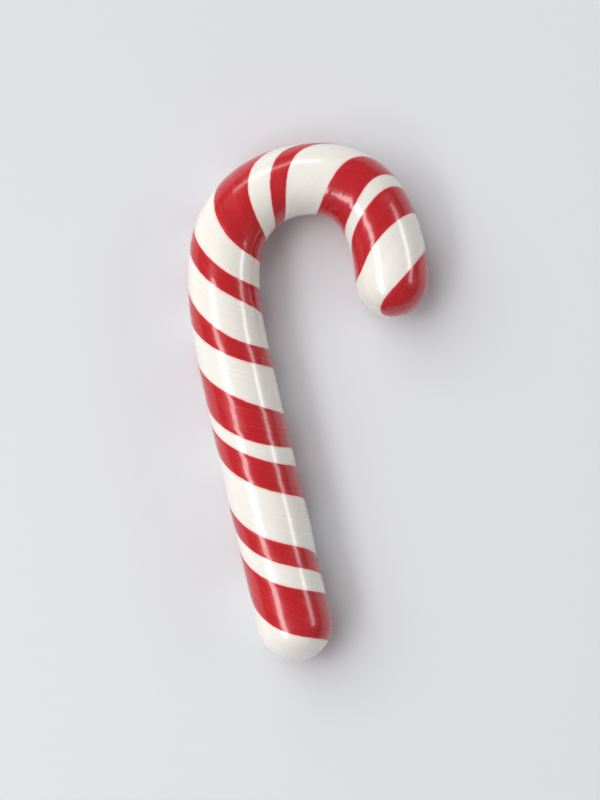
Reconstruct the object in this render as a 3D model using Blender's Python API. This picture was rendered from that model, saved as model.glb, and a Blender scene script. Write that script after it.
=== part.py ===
"""A candy cane: one round-ended stick of boiled sugar, bent into a crook.

The cane lies on its side as it would on a table. Its shank runs along +Y, the crook curls towards +X
and the shown side faces +Z. Underneath is the narrow flat strip that the soft stick got from the slab
it cooled on, and the whole cane rests on that strip, at z = 0.
"""

import math

import bmesh
import bpy
import numpy as np

MILLIMETRE = 0.001

# The stick, in metres. Distances run along its middle, from the centre of the foot's round end to
# the centre of the tip's.
STICK_LENGTH = 0.1925
SHANK_LENGTH = 0.072

# Distance along the stick, and the radius there. A stick pulled and rolled by hand is a little uneven:
# it is thinnest in the crook, where bending stretched it.
STICK_RADII = (
    (0.0, 0.01105),
    (0.045, 0.0111),
    (0.098, 0.0107),
    (0.143, 0.0105),
    (0.165, 0.01115),
    (STICK_LENGTH, 0.0109),
)

# Distance along the stick, and the degrees it turns in each millimetre there. The bend eases in above
# the shank, runs round the crook and is sharpest where it starts down again.
CROOK_BENDS = (
    (SHANK_LENGTH, 0.0),
    (0.092, 0.45),
    (0.107, 0.9),
    (0.118, 2.4),
    (0.129, 2.35),
    (0.143, 1.95),
    (0.154, 2.4),
    (0.165, 3.45),
    (0.176, 1.3),
    (STICK_LENGTH, 1.15),
)

# The flat strip underneath spans this angle to each side of straight down.
FLAT_HALF_ANGLE = math.radians(9.0)

# Fineness of the solid
SIDES_ROUND_STICK = 45
SHANK_STEPS = 9
CROOK_STEPS = 43
END_STEPS = 6
PATH_STEP = 0.0001

SUGAR_COLOUR = (0.86, 0.82, 0.76, 1.0)
SUGAR_ROUGHNESS = 0.12


def clear_scene():
    """Remove whatever the file holds, so that only the cane is left."""
    for old in list(bpy.data.objects):
        bpy.data.objects.remove(old, do_unlink=True)


def stations(table):
    """The two columns of a table of (distance, value) rows."""
    distances, values = zip(*table)
    return distances, values


def stick_path(distances):
    """Where the middle of the stick runs: x, y and heading at each distance.

    The heading starts at +Y and grows towards +X by the bend of each stretch. The place is the sum
    of short straight steps along the heading.
    """
    fine = np.arange(0.0, STICK_LENGTH + PATH_STEP, PATH_STEP)
    bend = np.interp(fine, *stations(CROOK_BENDS), left=0.0) / MILLIMETRE
    mean_bend = (bend[1:] + bend[:-1]) / 2.0
    heading = np.radians(np.concatenate([[0.0], np.cumsum(mean_bend * PATH_STEP)]))
    mean_heading = (heading[1:] + heading[:-1]) / 2.0
    x = np.concatenate([[0.0], np.cumsum(np.sin(mean_heading) * PATH_STEP)])
    y = np.concatenate([[0.0], np.cumsum(np.cos(mean_heading) * PATH_STEP)])
    return (np.interp(distances, fine, column) for column in (x, y, heading))


def ring_stations():
    """The rings of the stick, foot to tip: distance, radius, and how far the ring is pushed out.

    Between the ends a ring has the stick's own radius. Round each end the rings follow a quarter
    circle, which pushes them out past the stick's last full ring as they shrink.
    """
    shank = np.linspace(0.0, SHANK_LENGTH, SHANK_STEPS + 1)
    crook = np.linspace(SHANK_LENGTH, STICK_LENGTH, CROOK_STEPS + 1)[1:]
    body = np.concatenate([shank, crook])
    radii = np.interp(body, *stations(STICK_RADII))
    turn = np.radians(np.linspace(0.0, 90.0, END_STEPS + 1)[1:-1])
    foot = np.zeros(len(turn))
    tip = np.full(len(turn), STICK_LENGTH)
    distances = np.concatenate([foot, body, tip])
    ring_radii = np.concatenate([radii[0] * np.cos(turn[::-1]), radii, radii[-1] * np.cos(turn)])
    pushed = np.concatenate([-radii[0] * np.sin(turn[::-1]), np.zeros(len(body)), radii[-1] * np.sin(turn)])
    return distances, ring_radii, pushed


def section_angles():
    """Angles round the section from the shown side: even sides, and one wide one underneath."""
    return np.linspace(math.pi + FLAT_HALF_ANGLE, 3.0 * math.pi - FLAT_HALF_ANGLE, SIDES_ROUND_STICK + 1)


def stick_surface():
    """The rings' points as one array [ring, point, xyz], and the foot's and tip's outermost points.

    Each ring is a circle square to the path. Its middle stands just high enough for the flat strip
    of a full ring to lie at z = 0, whatever the stick's radius there. The strip's two edges, the
    first and last point of a full ring, are then set to exactly 0.
    """
    distances, ring_radii, pushed = ring_stations()
    x, y, heading = stick_path(distances)
    full_radii = np.interp(distances, *stations(STICK_RADII))
    middle_height = full_radii * math.cos(FLAT_HALF_ANGLE)
    along = np.stack([np.sin(heading), np.cos(heading), np.zeros(len(heading))], axis=1)
    across = np.stack([np.cos(heading), -np.sin(heading), np.zeros(len(heading))], axis=1)
    middles = np.stack([x, y, middle_height], axis=1) + along * pushed[:, None]
    angles = section_angles()
    outward = across[:, None, :] * np.sin(angles)[None, :, None]
    outward[:, :, 2] = np.cos(angles)
    rings = middles[:, None, :] + outward * ring_radii[:, None, None]
    rings[END_STEPS - 1:1 - END_STEPS, (0, -1), 2] = 0.0
    foot_pole = np.array([x[0], y[0], middle_height[0]]) - along[0] * full_radii[0]
    tip_pole = np.array([x[-1], y[-1], middle_height[-1]]) + along[-1] * full_radii[-1]
    return rings, foot_pole, tip_pole


def centred(rings, poles):
    """Move the points sideways so that the origin lies under the middle of the cane's outline."""
    points = np.concatenate([rings.reshape(-1, 3), poles])
    middle = (points.min(axis=0) + points.max(axis=0)) / 2.0
    middle[2] = 0.0
    return rings - middle, poles - middle


def sugar_material():
    """Hard clear-boiled sugar: warm white and glossy."""
    material = bpy.data.materials.new("boiled_sugar")
    material.use_nodes = True
    shader = material.node_tree.nodes["Principled BSDF"]
    shader.inputs["Base Color"].default_value = SUGAR_COLOUR
    shader.inputs["Roughness"].default_value = SUGAR_ROUGHNESS
    shader.inputs["Metallic"].default_value = 0.0
    material.diffuse_color = SUGAR_COLOUR
    return material


def make_candy_cane():
    """Join the rings side by side and close both round ends with a fan of triangles."""
    rings, foot_pole, tip_pole = stick_surface()
    rings, (foot_pole, tip_pole) = centred(rings, np.stack([foot_pole, tip_pole]))
    shape = bmesh.new()
    rows = [[shape.verts.new(point) for point in ring] for ring in rings]
    foot = shape.verts.new(foot_pole)
    tip = shape.verts.new(tip_pole)
    sides = len(rows[0])
    for here, there in zip(rows[:-1], rows[1:]):
        for k in range(sides):
            beside = (k + 1) % sides
            shape.faces.new((here[k], here[beside], there[beside], there[k]))
    for k in range(sides):
        beside = (k + 1) % sides
        shape.faces.new((foot, rows[0][beside], rows[0][k]))
        shape.faces.new((tip, rows[-1][k], rows[-1][beside]))
    bmesh.ops.recalc_face_normals(shape, faces=shape.faces)
    mesh = bpy.data.meshes.new("candy_cane")
    shape.to_mesh(mesh)
    shape.free()
    mesh.materials.append(sugar_material())
    mesh.shade_smooth()
    cane = bpy.data.objects.new("candy_cane", mesh)
    bpy.context.scene.collection.objects.link(cane)
    return cane


clear_scene()
make_candy_cane()
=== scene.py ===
"""The looks of a hard-candy cane: a bent stick of pulled sugar with twisted red stripes.

The stick lies with its crook towards +X and its shown side up. It is made as one fine surface over the
solid's own form, striped in the shader by a distance that is worked out on the surface. A pale floor,
soft lights and a camera that looks straight down go with it.
"""

import math

import bpy
import numpy as np
from bpy.props import FloatProperty, FloatVectorProperty, PointerProperty
from bpy.types import Operator, Panel, PropertyGroup
from mathutils import Matrix, Vector


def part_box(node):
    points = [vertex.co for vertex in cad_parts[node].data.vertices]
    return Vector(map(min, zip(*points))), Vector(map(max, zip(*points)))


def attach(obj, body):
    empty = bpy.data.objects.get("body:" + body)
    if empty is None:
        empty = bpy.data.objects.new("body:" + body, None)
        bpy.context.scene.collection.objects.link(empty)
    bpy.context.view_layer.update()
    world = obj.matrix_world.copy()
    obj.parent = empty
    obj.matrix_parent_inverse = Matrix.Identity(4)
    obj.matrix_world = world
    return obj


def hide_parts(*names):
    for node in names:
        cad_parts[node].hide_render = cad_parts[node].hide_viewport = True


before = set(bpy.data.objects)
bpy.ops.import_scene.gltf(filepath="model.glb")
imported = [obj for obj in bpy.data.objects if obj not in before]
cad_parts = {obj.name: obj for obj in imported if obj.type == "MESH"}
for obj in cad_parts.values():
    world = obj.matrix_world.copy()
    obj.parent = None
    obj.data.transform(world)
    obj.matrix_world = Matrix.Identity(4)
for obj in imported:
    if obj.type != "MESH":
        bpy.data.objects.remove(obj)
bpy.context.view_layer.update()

bl_info = {
    "name": "Candy cane",
    "version": (1, 0, 0),
    "blender": (4, 5, 0),
    "location": "3D View > Sidebar > Candy cane",
    "description": "Dresses a bent sugar stick in twisted stripes and lights it on a pale floor",
    "category": "Add Mesh",
}

CANE_NODE = "candy_cane"
CANE_PIECE = "candy_cane_sugar"
MILLIMETRE = 0.001

# The stick before it is bent, in millimetres. Distances run along its middle, from the centre of the
# foot's round end to the centre of the tip's.
STICK_LENGTH = 192.5

# Distance along the stick, and the radius there
STICK_RADII = (
    (0.0, 11.05),
    (45.0, 11.1),
    (98.0, 10.7),
    (143.0, 10.5),
    (165.0, 11.15),
    (STICK_LENGTH, 10.9),
)

# Distance along the stick, and the degrees it turns in each millimetre there
CROOK_BENDS = (
    (72.0, 0.0),
    (92.0, 0.45),
    (107.0, 0.9),
    (118.0, 2.4),
    (129.0, 2.35),
    (143.0, 1.95),
    (154.0, 2.4),
    (165.0, 3.45),
    (176.0, 1.3),
    (STICK_LENGTH, 1.15),
)

# The flat strip underneath spans the first angle to each side of straight down, and the relief has its
# full height from the second angle on.
FLAT_HALF_ANGLE = math.radians(9.0)
RELIEF_ANGLE = 5.0 * FLAT_HALF_ANGLE

# Distance along the stick, and the turns that the stripes make in each metre there. Past the crook's
# top the twist turns back.
STRIPE_TWIST = (
    (0.0, 29.9),
    (40.0, 24.0),
    (90.0, 11.1),
    (125.0, 26.2),
    (141.0, 36.0),
    (153.0, 34.5),
    (160.0, 67.8),
    (165.0, -78.0),
    (170.0, -42.2),
    (179.0, -35.8),
    (195.0, -24.5),
)

# Where the last stretch of the stripes ends past the foot, and where the top of the twist and the
# middle of the round tip lie along the stick, in millimetres
FOOT_RUNOUT = -17.0
TWIST_TOP = 161.0
TIP_POLE = 203.4

# Distance along the stick, and how far the middle of the shown side lags behind its two sides there,
# in millimetres: the stripes bow because the stick's top slid as it was rolled.
STRIPE_BOW = (
    (-11.0, 2.5),
    (0.0, 4.6),
    (30.0, 5.0),
    (70.0, 4.4),
    (107.0, 3.35),
    (117.0, 0.87),
    (141.0, 0.0),
    (155.0, 4.14),
    (165.0, 5.48),
    (178.0, 6.75),
    (188.0, 9.79),
    (196.0, 2.48),
    (TIP_POLE, 0.34),
)

# Where each edge of the two red stripes crosses the middle of the shown side: the distance along the
# stick, and the whole turns that the edge has made by then. The rows that aren't whole turns say how
# far round the edge is at the top of the twist and at the round ends.
WIDE_STRIPE_START = (
    (-2.1, 0.0), (41.9, 1.0), (81.1, 2.0), (116.8, 3.0), (155.3, 4.0),
    (TWIST_TOP, 4.377), (165.0, 4.0), (TIP_POLE, 3.35),
)
WIDE_STRIPE_END = (
    (FOOT_RUNOUT, -0.66), (12.6, 0.0), (51.0, 1.0), (87.4, 2.0), (129.4, 3.0),
    (TWIST_TOP, 3.695), (195.1, 3.0), (TIP_POLE, 2.85),
)
NARROW_STRIPE_START = (
    (FOOT_RUNOUT, -0.71), (19.4, 0.0), (55.9, 1.0), (100.5, 2.0), (136.5, 3.0),
    (TWIST_TOP, 3.589), (178.5, 3.0), (TIP_POLE, 2.5),
)
NARROW_STRIPE_END = (
    (FOOT_RUNOUT, -0.755), (26.1, 0.0), (68.3, 1.0), (106.9, 2.0), (141.8, 3.0),
    (TWIST_TOP, 3.472), (168.9, 3.0), (TIP_POLE, 2.43),
)

# How far the stripes are worked out past each end's centre, and the short steps in which the path and
# the twist are added up, in millimetres
TWIST_MARGIN = 24.0
FINE_STEP = 0.1

# Further than this from a stripe's edge, in millimetres, the distance to it is no longer told apart.
EDGE_REACH = 4.0

# The relief's waves: how short they may be along their two coordinates, in millimetres, and the seed
# that they are drawn from
FLUTE_WAVES = ((5.0, 5.0), 11)
SIDEWAYS_LUMPS = ((24.0, 22.0), 5)
UPRIGHT_LUMPS = ((24.0, 30.0), 8)

# How far the pinch in the middle of a round end spreads, in millimetres
DIMPLE_RADIUS = 1.3

# The surface's fineness: rings along the body, rings round each end, and points round each ring
BODY_RINGS = 472
END_RINGS = 38
RING_POINTS = 156

# Where the picture's camera saw the cane: pixels in its 600 by 800 frame, from the top left
FRAME_WIDTH = 600.0
FRAME_HEIGHT = 800.0
FOOT_CENTRE_PIXEL = (294.9, 624.7)
SHANK_LEAN = math.radians(12.91)
METRES_PER_PIXEL = 0.150 / 506.6

# The height of the camera's sensor in millimetres, and how near it sees in metres
SENSOR_HEIGHT = 36.0
NEAR_CLIP = 0.01

# How many lumps a millimetre has in threads, scuffs, orange peel, the stripes' straying edges and
# burst bubbles. Threads are long: along the stick a millimetre has only the stretch's share of them.
THREAD_SCALE = 1.3
THREAD_STRETCH = 0.035
FINE_THREAD_SCALE = 4.5
FINE_THREAD_STRETCH = 0.02
SCUFF_SCALE = 0.12
PEEL_SCALE = 1.1
STRAY_SCALE = 0.8
BUBBLE_SCALE = 0.33

# The values between which a noise takes effect, and the floor and rim of a bubble as shares of the
# bubbles' spacing
WHITE_THREADS = (0.35, 0.68)
RED_THREADS = (0.3, 0.7)
SCUFFS = (0.5, 0.72)
BUBBLE_RIM = (0.03, 0.07)

# Along a stripe's edge, in millimetres: the range over which it strays by itself and with the fine
# threads, half the width over which white turns red, how far the red bleeds, and how far in it is thin.
# Thinness is how much of the lighter red shows there.
STRAY = 0.3
DRAG = 0.2
EDGE_BLUR = 0.07
BLEED_WIDTH = 0.85
THIN_WIDTH = 0.6
THINNESS = 0.35

# Roughness under the gloss, on the darker threads and between them, and what scuffs add
THREAD_ROUGHNESS = (0.2, 0.28)
SCUFF_ROUGHNESS = 0.16

# The bump: the depth of the threads in metres, how strongly it shows, and the other parts as shares of
# the threads' depth
BUMP_DEPTH = 0.00003
BUMP_STRENGTH = 0.5
FINE_THREAD_DEPTH = 0.25
PEEL_DEPTH = 0.6
BUBBLE_DEPTH = 1.2

# The sugar's body, and the clear gloss over it
SUGAR_FINISH = {
    "IOR": 1.5,
    "Specular IOR Level": 0.2,
    "Subsurface Weight": 0.2,
    "Subsurface Radius": (1.0, 0.55, 0.4),
    "Subsurface Scale": 0.0015,
    "Coat Weight": 1.0,
    "Coat Roughness": 0.05,
    "Coat IOR": 1.5,
}

# Matt paper, and the gap in metres that keeps it clear of the sugar
PAPER_FINISH = {"Roughness": 0.6, "Specular IOR Level": 0.2}
FLOOR_GAP = 0.0002

# Each lamp's width and height, and its place from the middle of the picture, in metres
KEY_LAMP = ((0.2, 0.62), (-0.46, -0.12, 0.6))
STRIP_LAMP = ((0.15, 0.45), (0.62, 0.0, 0.4))
BACK_LAMP = ((0.5, 0.14), (-0.1, 0.68, 0.42))

# Where the wide light comes from, and the angle that its source fills
WASH_SIDE = (-0.6, 0.6, 1.0)
WASH_SPREAD = math.radians(60.0)

# The lamps are turned so that their height runs along the shank.
SHANK_DIRECTION = Vector((0.0, 1.0, 0.0))


def smooth_step(low, high, values):
    """0 below low, 1 above high, and between them 3 t squared minus 2 t cubed of the share t."""
    share = np.clip((values - low) / (high - low), 0.0, 1.0)
    return share * share * (3.0 - 2.0 * share)


def along_table(distances, table):
    """Straight lines between the rows of a (distance, value) table, level past its ends."""
    places, values = zip(*table)
    return np.interp(distances, places, values)


def easy_curve(distances, table):
    """A smooth curve through the rows of a (distance, value) table that never swings past them.

    Between two rows it is a cubic. Its slope at a row is the weighted harmonic mean of the slopes to
    both neighbours, or level where those differ in sign and at the table's ends.
    """
    places, values = (np.array(column, dtype=float) for column in zip(*table))
    gaps = np.diff(places)
    slopes = np.diff(values) / gaps
    before, after = slopes[:-1], slopes[1:]
    weight_before = gaps[:-1] + 2.0 * gaps[1:]
    weight_after = 2.0 * gaps[:-1] + gaps[1:]
    agree = before * after > 0.0
    safe_before = np.where(agree, before, 1.0)
    safe_after = np.where(agree, after, 1.0)
    mean = (weight_before + weight_after) / (weight_after / safe_before + weight_before / safe_after)
    row_slopes = np.concatenate([[0.0], np.where(agree, mean, 0.0), [0.0]])
    inside = np.clip(distances, places[0], places[-1])
    row = np.clip(np.searchsorted(places, inside) - 1, 0, len(places) - 2)
    share = (inside - places[row]) / gaps[row]
    rest = 1.0 - share
    level = (1.0 + 2.0 * share) * rest**2 * values[row] + share**2 * (3.0 - 2.0 * share) * values[row + 1]
    swing = share * rest**2 * row_slopes[row] - share**2 * rest * row_slopes[row + 1]
    return level + swing * gaps[row]


def stick_path(distances):
    """Where the middle of the stick runs: x, y and heading at each distance, in millimetres.

    The heading starts at +Y and grows towards +X by the bend of each stretch, and the place is the
    sum of short straight steps along it.
    """
    fine = np.arange(0.0, STICK_LENGTH + FINE_STEP, FINE_STEP)
    bend = along_table(fine, CROOK_BENDS)
    mean_bend = (bend[1:] + bend[:-1]) / 2.0
    heading = np.radians(np.concatenate([[0.0], np.cumsum(mean_bend * FINE_STEP)]))
    mean_heading = (heading[1:] + heading[:-1]) / 2.0
    x = np.concatenate([[0.0], np.cumsum(np.sin(mean_heading) * FINE_STEP)])
    y = np.concatenate([[0.0], np.cumsum(np.cos(mean_heading) * FINE_STEP)])
    return tuple(np.interp(distances, fine, column) for column in (x, y, heading))


def foot_centre():
    """The middle of the foot's round end, in metres, from the solid's own box.

    The path's outermost points, a radius out from its middle, fill that box, so the shift between
    the two centres places the path.
    """
    distances = np.arange(0.0, STICK_LENGTH, FINE_STEP)
    x, y, _ = stick_path(distances)
    radii = along_table(distances, STICK_RADII)
    low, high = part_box(CANE_NODE)
    middle_x = ((x - radii).min() + (x + radii).max()) / 2.0 * MILLIMETRE
    middle_y = ((y - radii).min() + (y + radii).max()) / 2.0 * MILLIMETRE
    return Vector(((low[0] + high[0]) / 2.0 - middle_x, (low[1] + high[1]) / 2.0 - middle_y, low[2]))


class Stick:
    """The grid of the sugar's surface, one row a ring and one column an angle round the stick.

    Angles run from the shown side towards the outside of the crook. On the body a ring has the
    stick's own radius. Round each end the rings follow a quarter circle: share is the part of the
    radius that is left, and lean the part that the ring is pushed out by. A ring's station is its
    distance along the stick with that push added.
    """

    def __init__(self):
        turn = np.radians(np.linspace(0.0, 90.0, END_RINGS + 1)[1:-1])
        body = np.linspace(0.0, STICK_LENGTH, BODY_RINGS)
        foot = np.zeros(len(turn))
        tip = np.full(len(turn), STICK_LENGTH)
        self.distances = np.concatenate([foot, body, tip])[:, None]
        self.share = np.concatenate([np.cos(turn[::-1]), np.ones(len(body)), np.cos(turn)])[:, None]
        self.lean = np.concatenate([-np.sin(turn[::-1]), np.zeros(len(body)), np.sin(turn)])[:, None]
        self.angles = np.linspace(0.0, 2.0 * math.pi, RING_POINTS, endpoint=False)[None, :]
        self.radii = along_table(self.distances, STICK_RADII)
        self.ring_radii = self.radii * self.share
        self.stations = self.distances + self.radii * self.lean

    def from_below(self):
        """The angle between each column and straight down."""
        return np.abs(self.angles - math.pi)

    def section(self):
        """How far out the section reaches, as a share of the radius: 1, and less over the flat."""
        below = self.from_below()
        return np.where(below < FLAT_HALF_ANGLE, math.cos(FLAT_HALF_ANGLE) / np.cos(below), 1.0)


def stripe_turns(stations, crossings):
    """Turns that a stripe's edge has made at each station, and the turns a millimetre there.

    It is the sum of the twist that all edges share, added up along the stick, and the edge's own
    lead. The lead is what makes the turns whole where the edge crosses the shown side's middle.
    """
    fine = np.arange(-TWIST_MARGIN, STICK_LENGTH + TWIST_MARGIN, FINE_STEP)
    rate = along_table(fine, STRIPE_TWIST) * MILLIMETRE
    twist = np.concatenate([[0.0], np.cumsum((rate[1:] + rate[:-1]) / 2.0 * FINE_STEP)])
    leads = [(place, turns - np.interp(place, fine, twist)) for place, turns in crossings]
    turned = twist + easy_curve(fine, leads)
    return np.interp(stations, fine, turned), np.interp(stations, fine, np.gradient(turned, fine))


def stripe_pattern(stick):
    """Distance to the nearest stripe edge, in millimetres and positive in red, and the grain.

    A point's own turns are its angle as a share of a circle. In a stripe they lie between the turns
    of its start and of its end, read at a station that lags by the bow times a lift. The lift is one
    minus the cosine of the angle, less half the cosine squared on the underside. Turns become
    millimetres by the slope of that difference over the surface. The grain is the point's place in
    the stick before it was twisted or bent.
    """
    bow = easy_curve(stick.stations, STRIPE_BOW)
    underside = np.maximum(-np.cos(stick.angles), 0.0)
    lagged = stick.stations - bow * (1.0 - np.cos(stick.angles) - 0.5 * underside**2)
    own_turns = stick.angles / (2.0 * math.pi)
    nearest = np.full(lagged.shape, -np.inf)
    twist = np.zeros(lagged.shape)
    for start, end in ((WIDE_STRIPE_START, WIDE_STRIPE_END), (NARROW_STRIPE_START, NARROW_STRIPE_END)):
        start_turns, start_slope = stripe_turns(lagged, start)
        end_turns, end_slope = stripe_turns(lagged, end)
        middle = (start_turns + end_turns) / 2.0
        slope = (start_slope + end_slope) / 2.0
        offset = (own_turns - middle + 0.5) % 1.0 - 0.5
        inside = (start_turns - end_turns) / 2.0 - np.abs(offset)
        lift_slope = np.sin(stick.angles) * (1.0 - underside)
        round_slope = (1.0 / (2.0 * math.pi) + slope * bow * lift_slope) / stick.ring_radii
        nearest = np.maximum(nearest, inside / np.hypot(slope * stick.share, round_slope))
        twist += middle / 2.0
    untwisted = 2.0 * math.pi * (own_turns - twist)
    grain = np.stack(
        [
            stick.ring_radii * np.cos(untwisted),
            stick.ring_radii * np.sin(untwisted),
            np.broadcast_to(stick.stations, untwisted.shape),
        ],
        axis=2,
    )
    return np.clip(nearest, -EDGE_REACH, EDGE_REACH), grain


def waves(first, second, lengths, seed, height):
    """Gentle lumps: eight sine waves over two coordinates, summed and divided by the root of eight.

    How often each wave repeats along a coordinate is drawn, up to once in its length, and so is
    where it starts.
    """
    draw = np.random.default_rng(seed)
    total = np.zeros(np.broadcast(first, second).shape)
    count = 8
    for _ in range(count):
        across = draw.uniform(-1.0, 1.0) / lengths[0]
        along = draw.uniform(-1.0, 1.0) / lengths[1]
        total += np.sin(2.0 * math.pi * (across * first + along * second + draw.uniform()))
    return total * height / math.sqrt(count)


def sugar_relief(stick, edge, grain, looks):
    """Height of the sugar's surface over the plain stick, in millimetres.

    It is the red stripes' crown, the soft groove along their edges, the flutes that twist with the
    stripes, long lumps from rolling by hand, and the pinch in the middle of each round end, which is
    a bell curve of the distance from its pole. It fades out towards the flat strip underneath.
    """
    crown = smooth_step(-looks.edge_softness, 2.0 * looks.edge_softness, edge * MILLIMETRE) - 0.5
    groove = np.exp(-((edge * MILLIMETRE / looks.edge_softness) ** 2))
    relief = (looks.stripe_height * crown - looks.groove_depth * groove) / MILLIMETRE
    relief += waves(grain[:, :, 0], grain[:, :, 1], *FLUTE_WAVES, looks.flute_height / MILLIMETRE)
    sideways = stick.radii * np.sin(stick.angles)
    relief += waves(sideways, stick.stations, *SIDEWAYS_LUMPS, looks.lump_height / MILLIMETRE)
    upright = stick.radii * np.cos(stick.angles)
    relief += waves(upright, stick.stations, *UPRIGHT_LUMPS, looks.lump_height / MILLIMETRE)
    relief -= looks.dimple_depth / MILLIMETRE * np.exp(-((stick.ring_radii / DIMPLE_RADIUS) ** 2))
    away_from_flat = smooth_step(FLAT_HALF_ANGLE, RELIEF_ANGLE, stick.from_below())
    return relief * (1.0 - (1.0 - away_from_flat) * stick.share)


def sugar_points(stick, relief):
    """The surface's points in metres: ring middles, plus the section's reach, plus the relief.

    A ring stands square to the path with its middle just high enough for the flat strip to lie at
    the solid's lowest level. The relief goes along the stick's own outward direction. The poles, the
    outermost points of the two ends, come last.
    """
    x, y, heading = stick_path(stick.distances)
    along = np.stack([np.sin(heading), np.cos(heading), np.zeros_like(heading)], axis=2)
    left = np.stack([-np.cos(heading), np.sin(heading), np.zeros_like(heading)], axis=2)
    middles = np.stack([x, y, stick.radii * math.cos(FLAT_HALF_ANGLE)], axis=2)
    outward = left * np.sin(stick.angles)[:, :, None]
    outward = outward + np.array([0.0, 0.0, 1.0]) * np.cos(stick.angles)[:, :, None]
    away = outward * stick.share[:, :, None] + along * stick.lean[:, :, None]
    reach = outward * (stick.ring_radii * stick.section())[:, :, None]
    points = middles + along * (stick.radii * stick.lean)[:, :, None] + reach + away * relief[:, :, None]
    poles = [
        middles[end, 0] + along[end, 0] * side * (stick.radii[end, 0] + relief[end].mean())
        for end, side in ((0, -1.0), (-1, 1.0))
    ]
    foot = foot_centre()
    points = np.concatenate([points.reshape(-1, 3), np.array(poles)]) * MILLIMETRE + np.array(foot)
    points[:, 2] = np.maximum(points[:, 2], foot.z)
    return points


def tube_faces(rings, columns):
    """Quads between neighbouring rings, and a fan of triangles from each pole, all facing outward."""
    ring = np.arange(rings - 1)[:, None] * columns
    next_ring = ring + columns
    column = np.arange(columns)[None, :]
    beside = (column + 1) % columns
    quads = np.stack([ring + column, next_ring + column, next_ring + beside, ring + beside], axis=2)
    last = (rings - 1) * columns
    foot = rings * columns
    spokes, next_spokes = column[0], beside[0]
    foot_fan = np.stack([np.full(columns, foot), spokes, next_spokes], axis=1)
    tip_fan = np.stack([np.full(columns, foot + 1), last + next_spokes, last + spokes], axis=1)
    return quads.reshape(-1, 4), np.concatenate([foot_fan, tip_fan])


def mesh_piece(name, points, quads, triangles, material):
    """A smooth mesh object at the origin, from whole arrays of points and faces."""
    mesh = bpy.data.meshes.new(name)
    mesh.vertices.add(len(points))
    mesh.vertices.foreach_set("co", points.astype(np.float32).ravel())
    corners = np.concatenate([quads.ravel(), triangles.ravel()])
    sizes = np.concatenate([np.full(len(quads), 4), np.full(len(triangles), 3)])
    mesh.loops.add(len(corners))
    mesh.loops.foreach_set("vertex_index", corners.astype(np.int32))
    mesh.polygons.add(len(sizes))
    mesh.polygons.foreach_set("loop_start", (np.cumsum(sizes) - sizes).astype(np.int32))
    mesh.update(calc_edges=True)
    mesh.shade_smooth()
    mesh.materials.append(material)
    piece = bpy.data.objects.new(name, mesh)
    bpy.context.scene.collection.objects.link(piece)
    return piece


def keep_attribute(piece, name, values):
    """Store one number or one vector for each point of the mesh."""
    if values.ndim == 1:
        attribute = piece.data.attributes.new(name, "FLOAT", "POINT")
        attribute.data.foreach_set("value", values.astype(np.float32))
    else:
        attribute = piece.data.attributes.new(name, "FLOAT_VECTOR", "POINT")
        attribute.data.foreach_set("vector", values.astype(np.float32).ravel())


class Nodes:
    """Adds nodes to one tree and joins them, so that a material reads as a list of steps."""

    def __init__(self, tree):
        self.tree = tree

    def add(self, kind, settings=None, **inputs):
        """A node with its settings, and its inputs by name as a value or as another node's output."""
        node = self.tree.nodes.new(kind)
        for key, value in (settings or {}).items():
            setattr(node, key, value)
        for key, value in inputs.items():
            self.feed(node.inputs[key.replace("_", " ")], value)
        return node

    def feed(self, socket, value):
        """Set a socket to a value, or join another node's output to it."""
        if isinstance(value, bpy.types.NodeSocket):
            self.tree.links.new(value, socket)
        else:
            socket.default_value = value

    def arithmetic(self, operation, *values):
        """One step of arithmetic on numbers."""
        node = self.tree.nodes.new("ShaderNodeMath")
        node.operation = operation
        for socket, value in zip(node.inputs, values):
            self.feed(socket, value)
        return node.outputs[0]

    def scaled(self, vector, scale):
        """A vector times another, part by part."""
        node = self.tree.nodes.new("ShaderNodeVectorMath")
        node.operation = "MULTIPLY"
        self.feed(node.inputs[0], vector)
        self.feed(node.inputs[1], scale)
        return node.outputs[0]

    def noise(self, vector, scale, detail=2.0):
        """Cloudy noise from 0 to 1, scale lumps to a unit."""
        return self.add("ShaderNodeTexNoise", Vector=vector, Scale=scale, Detail=detail).outputs[0]

    def ramp(self, value, low, high, to_low=0.0, to_high=1.0):
        """A smooth step from one value to another between low and high."""
        node = self.tree.nodes.new("ShaderNodeMapRange")
        node.interpolation_type = "SMOOTHSTEP"
        for socket, number in zip(node.inputs, (value, low, high, to_low, to_high)):
            self.feed(socket, number)
        return node.outputs[0]

    def mix(self, share, first, second):
        """A blend of two colours."""
        node = self.tree.nodes.new("ShaderNodeMix")
        node.data_type = "RGBA"
        self.feed(node.inputs["Factor"], share)
        colours = [socket for socket in node.inputs if socket.type == "RGBA"]
        self.feed(colours[0], first)
        self.feed(colours[1], second)
        return next(socket for socket in node.outputs if socket.type == "RGBA")


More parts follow.
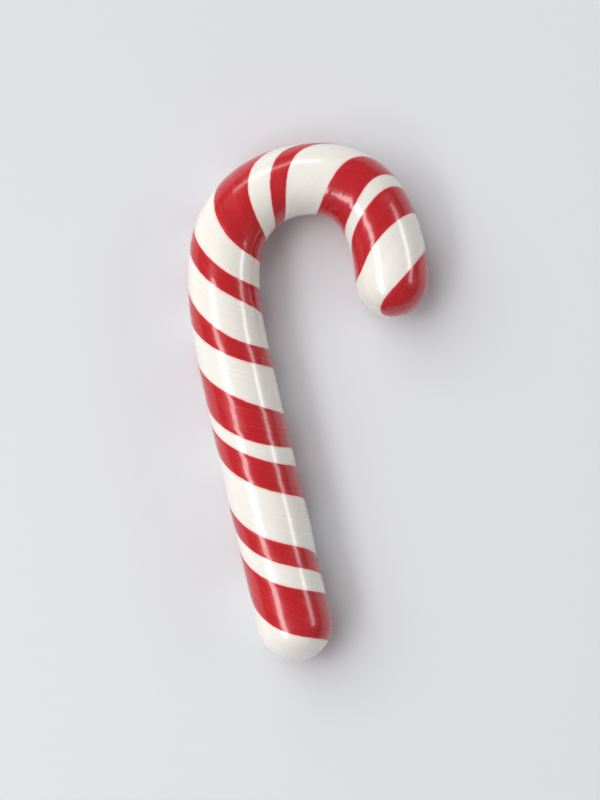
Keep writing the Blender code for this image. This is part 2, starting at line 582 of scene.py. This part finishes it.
def sugar_material(looks):
    """Pulled sugar: warm white with red stripes, fine threads along the twist and a hard gloss.

    The stripes come from the distance kept on the surface, which strays a little and is cut to red
    or white over a narrow step. The red bleeds pink into the white, and is lighter where it thins
    out. Threads are noise on the grain, drawn long along the stick. The bump holds the threads,
    orange peel and small burst bubbles.
    """
    material = bpy.data.materials.new("pulled_sugar")
    material.use_nodes = True
    tree = material.node_tree
    nodes = Nodes(tree)
    shader = tree.nodes["Principled BSDF"]

    place = nodes.add("ShaderNodeTexCoord").outputs["Object"]
    skin = nodes.scaled(place, (1.0 / MILLIMETRE,) * 3)
    grain = nodes.add("ShaderNodeAttribute", {"attribute_name": "grain"}).outputs["Vector"]
    edge = nodes.add("ShaderNodeAttribute", {"attribute_name": "stripe_edge"}).outputs["Fac"]

    threads = nodes.noise(nodes.scaled(grain, (1.0, 1.0, THREAD_STRETCH)), THREAD_SCALE, detail=4.0)
    fine_threads = nodes.noise(nodes.scaled(grain, (1.0, 1.0, FINE_THREAD_STRETCH)), FINE_THREAD_SCALE)
    clouds = nodes.noise(skin, SCUFF_SCALE, detail=3.0)
    peel = nodes.noise(skin, PEEL_SCALE)

    stray = nodes.arithmetic("SUBTRACT", nodes.noise(skin, STRAY_SCALE), 0.5)
    drag = nodes.arithmetic("SUBTRACT", fine_threads, 0.5)
    wavy_edge = nodes.arithmetic("MULTIPLY_ADD", stray, STRAY, edge)
    wavy_edge = nodes.arithmetic("MULTIPLY_ADD", drag, DRAG, wavy_edge)
    red_mask = nodes.ramp(wavy_edge, -EDGE_BLUR, EDGE_BLUR)
    bleed = nodes.ramp(wavy_edge, -BLEED_WIDTH, 0.0, 0.0, looks.bleed)
    thin_red = nodes.ramp(wavy_edge, THIN_WIDTH, 0.0, 0.0, THINNESS)

    white = nodes.mix(nodes.ramp(threads, *WHITE_THREADS), tuple(looks.white_dark), tuple(looks.white))
    white = nodes.mix(bleed, white, tuple(looks.pink))
    red = nodes.mix(nodes.ramp(threads, *RED_THREADS), tuple(looks.red_dark), tuple(looks.red))
    red = nodes.mix(thin_red, red, tuple(looks.red_light))
    colour = nodes.mix(red_mask, white, red)
    tree.links.new(colour, shader.inputs["Base Color"])

    scuffs = nodes.ramp(clouds, *SCUFFS, 0.0, SCUFF_ROUGHNESS)
    rough = nodes.arithmetic("ADD", nodes.ramp(threads, *RED_THREADS, *THREAD_ROUGHNESS), scuffs)
    tree.links.new(rough, shader.inputs["Roughness"])

    spacing = nodes.add("ShaderNodeTexVoronoi", Vector=skin, Scale=BUBBLE_SCALE).outputs["Distance"]
    bubbles = nodes.ramp(spacing, *BUBBLE_RIM, -BUBBLE_DEPTH, 0.0)
    height = nodes.arithmetic("MULTIPLY_ADD", fine_threads, FINE_THREAD_DEPTH, threads)
    height = nodes.arithmetic("MULTIPLY_ADD", peel, PEEL_DEPTH, height)
    height = nodes.arithmetic("ADD", bubbles, height)
    bump = nodes.add("ShaderNodeBump", Height=height, Distance=BUMP_DEPTH, Strength=BUMP_STRENGTH)
    tree.links.new(bump.outputs["Normal"], shader.inputs["Normal"])

    for socket, value in SUGAR_FINISH.items():
        shader.inputs[socket].default_value = value
    return material


def floor_material(colour):
    """Smooth matt paper."""
    material = bpy.data.materials.new("pale_floor")
    material.use_nodes = True
    shader = material.node_tree.nodes["Principled BSDF"]
    shader.inputs["Base Color"].default_value = colour
    for socket, value in PAPER_FINISH.items():
        shader.inputs[socket].default_value = value
    return material


class CaneLooks(PropertyGroup):
    """Sizes of the sugar's relief and its colours."""

    stripe_height: FloatProperty(
        name="Stripe height", description="How proud the red stripes stand of the white sugar",
        default=0.00006, min=0.0, precision=5, unit="LENGTH")
    groove_depth: FloatProperty(
        name="Groove depth", description="Depth of the soft groove along a stripe's edge",
        default=0.00004, min=0.0, precision=5, unit="LENGTH")
    edge_softness: FloatProperty(
        name="Edge softness", description="Width over which a stripe rises",
        default=0.0006, min=0.0001, precision=5, unit="LENGTH")
    flute_height: FloatProperty(
        name="Flute height", description="Height of the ridges that twist with the stripes",
        default=0.00001, min=0.0, precision=5, unit="LENGTH")
    lump_height: FloatProperty(
        name="Lump height", description="Height of the long lumps from rolling by hand",
        default=0.00007, min=0.0, precision=5, unit="LENGTH")
    dimple_depth: FloatProperty(
        name="Dimple depth", description="Depth of the pinch in the middle of each round end",
        default=0.0003, min=0.0, precision=5, unit="LENGTH")
    bleed: FloatProperty(
        name="Bleed", description="How pink the white sugar is beside a stripe",
        default=0.35, min=0.0, max=1.0, subtype="FACTOR")
    white: FloatVectorProperty(
        name="White", description="White sugar", size=4, subtype="COLOR",
        default=(0.87, 0.84, 0.785, 1.0), min=0.0, max=1.0)
    white_dark: FloatVectorProperty(
        name="White threads", description="The denser threads in the white sugar", size=4, subtype="COLOR",
        default=(0.84, 0.803, 0.74, 1.0), min=0.0, max=1.0)
    red: FloatVectorProperty(
        name="Red", description="Red sugar", size=4, subtype="COLOR",
        default=(0.56, 0.008, 0.016, 1.0), min=0.0, max=1.0)
    red_dark: FloatVectorProperty(
        name="Red threads", description="The deeper threads in the red sugar", size=4, subtype="COLOR",
        default=(0.46, 0.005, 0.011, 1.0), min=0.0, max=1.0)
    red_light: FloatVectorProperty(
        name="Thin red", description="Red sugar where it thins out at a stripe's edge", size=4,
        subtype="COLOR", default=(0.75, 0.07, 0.08, 1.0), min=0.0, max=1.0)
    pink: FloatVectorProperty(
        name="Pink", description="White sugar stained by the red beside it", size=4, subtype="COLOR",
        default=(0.85, 0.42, 0.4, 1.0), min=0.0, max=1.0)


class StageLooks(PropertyGroup):
    """The floor, the lights and the lens."""

    floor_colour: FloatVectorProperty(
        name="Floor", description="Colour of the floor", size=4, subtype="COLOR",
        default=(0.7, 0.71, 0.735, 1.0), min=0.0, max=1.0)
    floor_size: FloatProperty(
        name="Floor size", description="Length of the floor's sides", default=12.0, min=0.5, unit="LENGTH")
    sky: FloatProperty(
        name="Sky", description="Strength of the even light from all round", default=0.29, min=0.0)
    wash: FloatProperty(
        name="Wash", description="Strength of the wide soft light that reaches the whole floor", default=1.9,
        min=0.0)
    key_power: FloatProperty(
        name="Key light", description="Power of the long soft light", default=1.6, min=0.0, unit="POWER")
    strip_power: FloatProperty(
        name="Strip light", description="Power of the slim light on the other side", default=0.5,
        min=0.0, unit="POWER")
    back_power: FloatProperty(
        name="Back light", description="Power of the light behind the crook", default=0.5,
        min=0.0, unit="POWER")
    shine: FloatProperty(
        name="Shine", description="How many times as bright each lamp is again in the sugar's gloss",
        default=5.0, min=0.0)
    lens: FloatProperty(
        name="Lens", description="Focal length of the camera", default=100.0, min=20.0,
        unit="CAMERA", subtype="DISTANCE_CAMERA")


class CANDY_OT_sugar(Operator):
    """Make the sugar's fine surface and let it stand for the plain solid"""

    bl_idname = "candy_cane.make_sugar"
    bl_label = "Make sugar"

    def execute(self, context):
        looks = context.scene.cane_looks
        stick = Stick()
        edge, grain = stripe_pattern(stick)
        points = sugar_points(stick, sugar_relief(stick, edge, grain, looks))
        quads, triangles = tube_faces(*edge.shape)
        sugar = mesh_piece(CANE_PIECE, points, quads, triangles, sugar_material(looks))
        keep_attribute(sugar, "stripe_edge", np.append(edge.ravel(), [edge[0].mean(), edge[-1].mean()]))
        pole_grain = [(0.0, 0.0, stick.stations.min()), (0.0, 0.0, stick.stations.max())]
        keep_attribute(sugar, "grain", np.concatenate([grain.reshape(-1, 3), np.array(pole_grain)]))
        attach(sugar, "root")
        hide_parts(CANE_NODE)
        return {"FINISHED"}


def camera_axes():
    """The picture's right, up and towards-the-viewer directions: the shank leans left going up."""
    right = Vector((math.cos(SHANK_LEAN), -math.sin(SHANK_LEAN), 0.0))
    up = Vector((math.sin(SHANK_LEAN), math.cos(SHANK_LEAN), 0.0))
    return right, up, Vector((0.0, 0.0, 1.0))


def picture_centre():
    """The point of the cane's own level under the middle of the picture."""
    right, up, toward = camera_axes()
    across = (FRAME_WIDTH / 2.0 - FOOT_CENTRE_PIXEL[0]) * METRES_PER_PIXEL
    rise = (FOOT_CENTRE_PIXEL[1] - FRAME_HEIGHT / 2.0) * METRES_PER_PIXEL
    level = STICK_RADII[0][1] * MILLIMETRE
    return foot_centre() + right * across + up * rise + toward * level


def aim(thing, place, target, up):
    """Put a camera or a lamp at a place, looking at the target, with up kept upright in its view."""
    back = (place - target).normalized()
    right = up.cross(back).normalized()
    turned = Matrix((right, back.cross(right), back)).transposed().to_4x4()
    thing.matrix_world = Matrix.Translation(place) @ turned


def add_soft_light(name, power, shine, size, place, target):
    """A lamp squared to the shank, and its twin, which shows only as a shine in the gloss."""
    for part, energy, shows_on_matt in (("light", power, True), ("shine", power * shine, False)):
        lamp = bpy.data.lights.new(f"{name}_{part}", "AREA")
        lamp.shape = "RECTANGLE"
        lamp.size, lamp.size_y = size
        lamp.energy = energy
        light = bpy.data.objects.new(lamp.name, lamp)
        light.visible_diffuse = shows_on_matt
        bpy.context.scene.collection.objects.link(light)
        aim(light, place, target, SHANK_DIRECTION)


def add_wash_light(name, strength, place, target):
    """Light from one side that falls alike on the whole floor and casts no shine."""
    lamp = bpy.data.lights.new(name, "SUN")
    lamp.energy = strength
    lamp.angle = WASH_SPREAD
    light = bpy.data.objects.new(name, lamp)
    light.visible_glossy = False
    bpy.context.scene.collection.objects.link(light)
    aim(light, place, target, SHANK_DIRECTION)


class CANDY_OT_stage(Operator):
    """Lay the floor, set the lights and look straight down on the cane"""

    bl_idname = "candy_cane.make_stage"
    bl_label = "Make stage"

    def execute(self, context):
        looks = context.scene.stage_looks
        half = looks.floor_size / 2.0
        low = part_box(CANE_NODE)[0][2] - FLOOR_GAP
        corners = np.array([(-half, -half, low), (half, -half, low), (half, half, low), (-half, half, low)])
        no_triangles = np.zeros((0, 3), dtype=int)
        paper = floor_material(tuple(looks.floor_colour))
        floor = mesh_piece("floor", corners, np.array([[0, 1, 2, 3]]), no_triangles, paper)

        world = bpy.data.worlds.new("studio")
        world.use_nodes = True
        background = world.node_tree.nodes["Background"]
        background.inputs["Color"].default_value = (1.0, 1.0, 1.0, 1.0)
        background.inputs["Strength"].default_value = looks.sky
        context.scene.world = world

        centre = picture_centre()
        for name, power, (size, place) in (
            ("key", looks.key_power, KEY_LAMP),
            ("strip", looks.strip_power, STRIP_LAMP),
            ("back", looks.back_power, BACK_LAMP),
        ):
            add_soft_light(name, power, looks.shine, size, centre + Vector(place), centre)
        add_wash_light("wash", looks.wash, centre + Vector(WASH_SIDE), centre)

        lens = bpy.data.cameras.new("camera")
        lens.lens = looks.lens
        lens.sensor_fit = "VERTICAL"
        lens.sensor_height = SENSOR_HEIGHT
        lens.clip_start = NEAR_CLIP
        camera = bpy.data.objects.new("camera", lens)
        context.scene.collection.objects.link(camera)
        distance = FRAME_HEIGHT * METRES_PER_PIXEL * looks.lens / SENSOR_HEIGHT
        _, up, toward = camera_axes()
        aim(camera, centre + toward * distance, centre, up)
        context.scene.camera = camera
        context.scene.view_settings.view_transform = "Standard"
        return {"FINISHED"}


class CANDY_PT_panel(Panel):
    """Lists the steps in the 3D view's sidebar."""

    bl_label = "Candy cane"
    bl_idname = "CANDY_PT_panel"
    bl_space_type = "VIEW_3D"
    bl_region_type = "UI"
    bl_category = "Candy cane"

    def draw(self, context):
        for looks, operator in (
            (context.scene.cane_looks, CANDY_OT_sugar.bl_idname),
            (context.scene.stage_looks, CANDY_OT_stage.bl_idname),
        ):
            column = self.layout.column()
            for name in looks.__annotations__:
                column.prop(looks, name)
            column.operator(operator)


CLASSES = (CaneLooks, StageLooks, CANDY_OT_sugar, CANDY_OT_stage, CANDY_PT_panel)


def register():
    for item in CLASSES:
        bpy.utils.register_class(item)
    bpy.types.Scene.cane_looks = PointerProperty(type=CaneLooks)
    bpy.types.Scene.stage_looks = PointerProperty(type=StageLooks)


def unregister():
    del bpy.types.Scene.stage_looks
    del bpy.types.Scene.cane_looks
    for item in reversed(CLASSES):
        bpy.utils.unregister_class(item)


def main():
    """Dress the cane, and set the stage."""
    register()
    bpy.ops.candy_cane.make_sugar()
    bpy.ops.candy_cane.make_stage()


if __name__ == "__main__":
    main()
